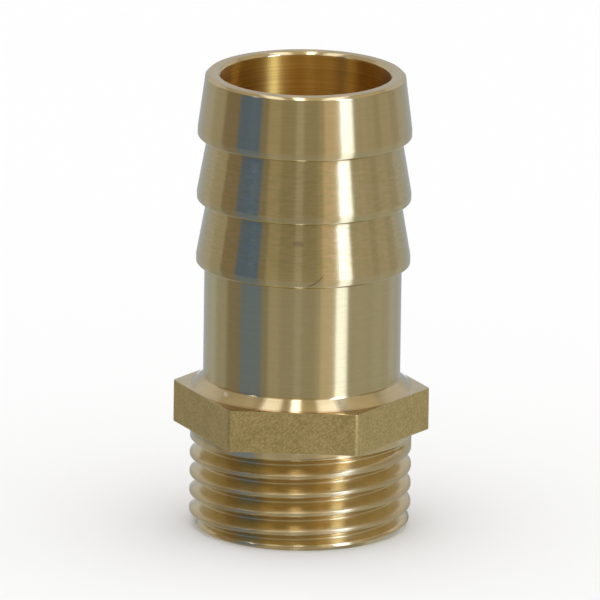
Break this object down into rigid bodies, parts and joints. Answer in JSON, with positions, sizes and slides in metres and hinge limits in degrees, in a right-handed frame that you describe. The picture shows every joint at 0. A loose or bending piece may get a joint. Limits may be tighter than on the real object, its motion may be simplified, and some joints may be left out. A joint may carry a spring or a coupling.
{
  "type": "hose barb tail",
  "caption": "Turned brass hose tail: parallel pipe thread, hexagon for a spanner, plain shank and square-edged barbs for a soft hose, with a bore right through.",
  "frame": {"origin": "centre of the threaded end's face", "axes": "+Z along the axis from the threaded end to the hose end; hexagon flats face +Y and -Y, hexagon corners lie on +X and -X"},
  "size_m": [0.0242, 0.021, 0.0438],
  "materials": {
    "brass": "turned, with shot-blasted hexagon flats"
  },
  "bodies": {
    "root": {"hose_tail": "brass"}
  },
  "joints": []
}
